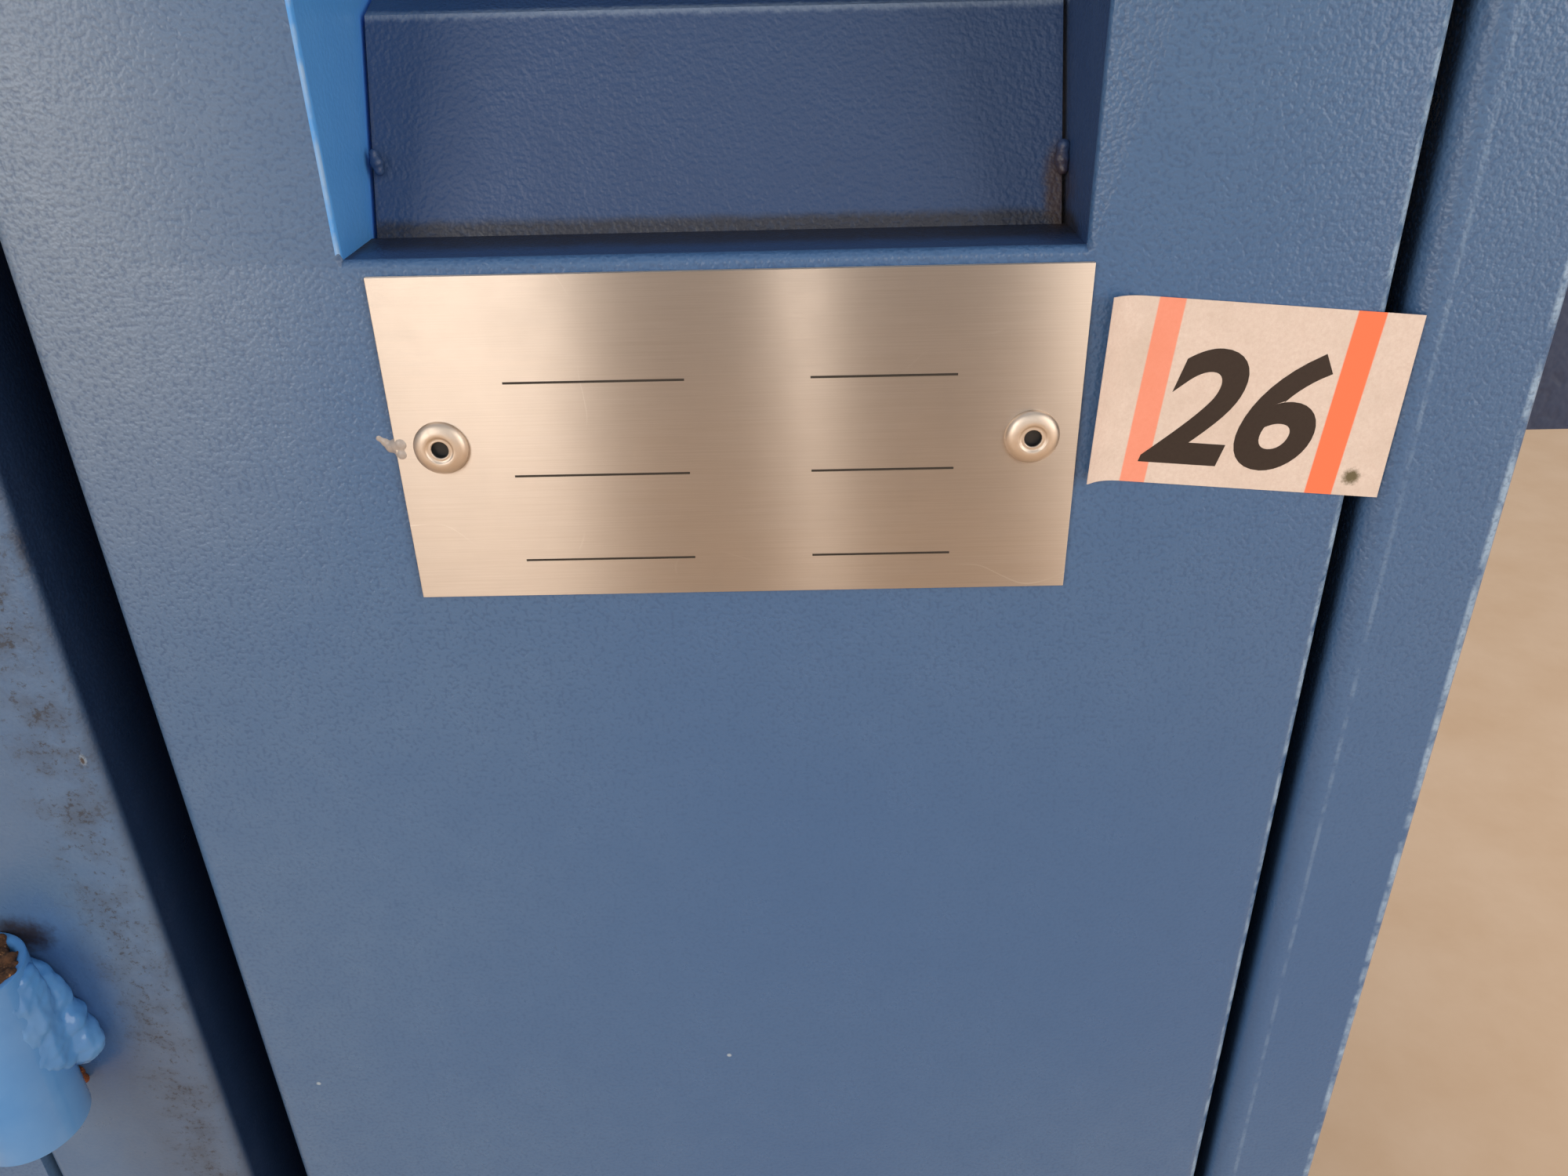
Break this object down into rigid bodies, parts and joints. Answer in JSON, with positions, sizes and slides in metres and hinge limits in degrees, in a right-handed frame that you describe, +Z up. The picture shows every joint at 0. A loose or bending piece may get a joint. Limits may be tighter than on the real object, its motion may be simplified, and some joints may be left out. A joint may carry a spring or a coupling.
{
  "type": "sock knitting machine",
  "caption": "Single-cylinder circular sock knitting machine on a blue sheet-steel cabinet, with sock chute, dial head, creel and swivelling operator panel.",
  "frame": {"origin": "middle of the whole machine's footprint on the floor", "axes": "+X to the operator's right, +Y to the back, +Z up"},
  "size_m": [0.969, 0.799, 1.83],
  "materials": {
    "cabinet_blue": "orange-peel powder coat, worn at the edges",
    "box_blue": "dark blue powder coat",
    "plate_steel": "horizontally brushed, scratched",
    "bright_steel": "ground and oiled",
    "chromed": "bright chrome",
    "cast_grey": "grey machine enamel on castings",
    "motor_black": "black semi-gloss",
    "alloy": "turned",
    "belt_rubber": "matt black",
    "foot_rubber": "moulded",
    "panel_grey": "fine texture",
    "wheel_black": "moulded phenolic",
    "button_green": "moulded",
    "button_red": "moulded",
    "selector_black": "moulded",
    "guard_clear": "clear acrylic",
    "label_paper": "matt, soiled"
  },
  "bodies": {
    "machine": {"left_side_sheet": "cabinet_blue", "right_side_sheet": "cabinet_blue", "bottom_pan": "cabinet_blue", "top_frame": "cabinet_blue", "rear_panel": "cabinet_blue", "front_stile": "cabinet_blue", "front_panel": "cabinet_blue", "sock_chute": "cabinet_blue", "rod_socket": "cabinet_blue", "control_box": "box_blue", "nameplate": "plate_steel", "nameplate_rivets": "plate_steel", "pinion_bearings": "bright_steel", "cylinder_bearing": "bright_steel", "sinker_cap": "bright_steel", "arm_pin": "bright_steel", "foot_locknuts": "bright_steel", "door_hinges": "bright_steel", "door_hinge_pins": "bright_steel", "guard_post": "chromed", "panel_post": "chromed", "creel_post": "chromed", "creel_ring": "chromed", "bed_plate": "cast_grey", "motor_plate": "cast_grey", "gear_housing": "cast_grey", "gear_cover": "cast_grey", "cam_ring": "cast_grey", "arm_post": "cast_grey", "drive_motor": "motor_black", "fan_housing": "motor_black", "stitch_motor": "motor_black", "sock_duct": "alloy", "drive_belt": "belt_rubber", "levelling_feet": "foot_rubber", "selector_units": "selector_black", "number_label": "label_paper"},
    "service_door": {"service_door": "cabinet_blue"},
    "door_latch": {"door_latch": "motor_black"},
    "cylinder": {"cylinder_gear": "bright_steel", "needle_cylinder": "bright_steel", "needles": "bright_steel", "sinker_bed": "bright_steel"},
    "pinion": {"pinion_shaft": "bright_steel", "driven_pulley": "alloy", "handwheel": "wheel_black"},
    "motor_rotor": {"motor_shaft": "bright_steel", "motor_pulley": "alloy"},
    "dial_arm": {"dial_arm": "cast_grey", "dial_head": "cast_grey", "yarn_fingers": "bright_steel"},
    "dial": {"dial": "bright_steel", "dial_shaft": "bright_steel"},
    "guard": {"head_guard": "guard_clear"},
    "fan_wheel": {"fan_impeller": "alloy"},
    "box_door": {"control_box_door": "box_blue"},
    "isolator": {"isolator_knob": "button_red"},
    "console": {"operator_panel": "panel_grey"},
    "start_button": {"start_button": "button_green"},
    "emergency_stop": {"emergency_stop": "button_red"}
  },
  "joints": [
    {"name": "cylinder_spin", "type": "hinge", "parent": "machine", "child": "cylinder", "pos_m": [-0.0075, -0.0995, 0.834], "axis": [0, 0, 1], "continuous": true},
    {"name": "pinion_spin", "type": "hinge", "parent": "machine", "child": "pinion", "pos_m": [0.1365, -0.0995, 0.834], "axis": [0, 0, 1], "continuous": true},
    {"name": "motor_spin", "type": "hinge", "parent": "machine", "child": "motor_rotor", "pos_m": [0.1825, 0.0505, 0.77], "axis": [0, 0, 1], "continuous": true},
    {"name": "dial_spin", "type": "hinge", "parent": "dial_arm", "child": "dial", "pos_m": [-0.0075, -0.0995, 1.034], "axis": [0, 0, 1], "continuous": true},
    {"name": "arm_lift", "type": "hinge", "parent": "machine", "child": "dial_arm", "pos_m": [-0.0075, 0.0785, 1.121], "axis": [-1, 0, 0], "range_deg": [0, 60]},
    {"name": "guard_swing", "type": "hinge", "parent": "machine", "child": "guard", "pos_m": [-0.16605, -0.12746, 0.92], "axis": [0, 0, -1], "range_deg": [0, 100]},
    {"name": "door_swing", "type": "hinge", "parent": "machine", "child": "service_door", "pos_m": [-0.295, -0.3865, 0.44], "axis": [0, 0, -1], "range_deg": [0, 110]},
    {"name": "latch_turn", "type": "hinge", "parent": "service_door", "child": "door_latch", "pos_m": [-0.0012, -0.3795, 0.4405], "axis": [0, 1, 0], "range_deg": [0, 90]},
    {"name": "fan_spin", "type": "hinge", "parent": "machine", "child": "fan_wheel", "pos_m": [-0.1725, 0.0305, 0.16], "axis": [1, 0, 0], "continuous": true},
    {"name": "box_door_swing", "type": "hinge", "parent": "machine", "child": "box_door", "pos_m": [0.4705, -0.0435, 0.568], "axis": [0, 0, 1], "range_deg": [0, 110]},
    {"name": "isolator_turn", "type": "hinge", "parent": "box_door", "child": "isolator", "pos_m": [0.4765, -0.2495, 0.658], "axis": [1, 0, 0], "range_deg": [0, 90]},
    {"name": "console_swivel", "type": "hinge", "parent": "machine", "child": "console", "pos_m": [-0.3595, -0.2495, 1.17], "axis": [0, 0, 1], "range_deg": [-45, 45]},
    {"name": "start_press", "type": "slide", "parent": "console", "child": "start_button", "axis": [0, 0.9921, -0.1251], "range_m": [0, 0.003], "stiffness_N_per_m": 400},
    {"name": "stop_press", "type": "slide", "parent": "console", "child": "emergency_stop", "axis": [0, 0.9921, -0.1251], "range_m": [0, 0.003], "stiffness_N_per_m": 600}
  ],
  "couplings": [
    {"joint": "pinion_spin", "follows": "cylinder_spin", "ratio": -5},
    {"joint": "motor_spin", "follows": "cylinder_spin", "ratio": -10},
    {"joint": "dial_spin", "follows": "cylinder_spin", "ratio": 1}
  ]
}
